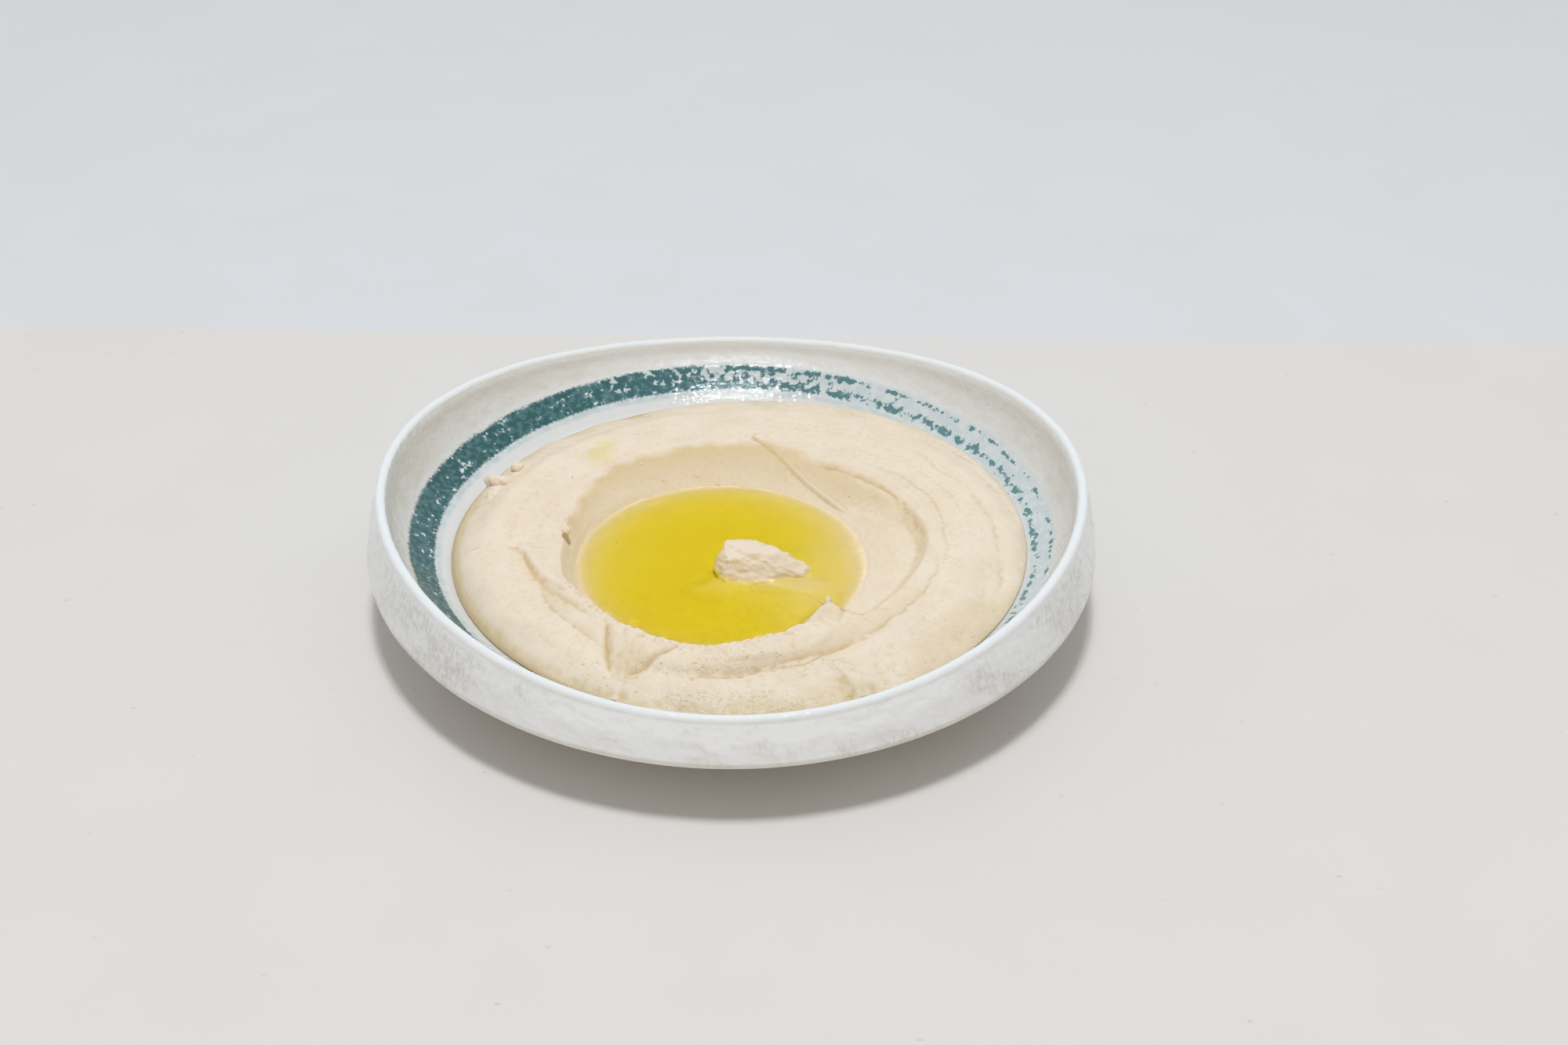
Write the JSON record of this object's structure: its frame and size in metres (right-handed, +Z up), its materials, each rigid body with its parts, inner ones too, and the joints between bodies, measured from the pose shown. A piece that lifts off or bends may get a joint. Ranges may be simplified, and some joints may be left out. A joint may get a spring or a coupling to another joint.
{
  "type": "hummus in a bowl",
  "caption": "Smooth hummus drawn round into a well with a pool of olive oil and a small lump in it, in a shallow glazed bowl with a swaying rim and a brushed ring inside.",
  "frame": {"origin": "on the bowl's axis at the height of the table that its foot ring stands on, the middle of the base of the whole", "axes": "+Z up along the bowl's axis; -Y towards the front, where the rim dips; +X to the right, where the rim is high, as it is to the left"},
  "size_m": [0.21, 0.21, 0.0413],
  "materials": {
    "glazed_stoneware": "gloss",
    "hummus": "satin",
    "olive_oil": "gloss"
  },
  "bodies": {
    "root": {"bowl": "glazed_stoneware", "hummus": "hummus", "hummus_lump": "hummus", "olive_oil": "olive_oil"}
  },
  "joints": []
}
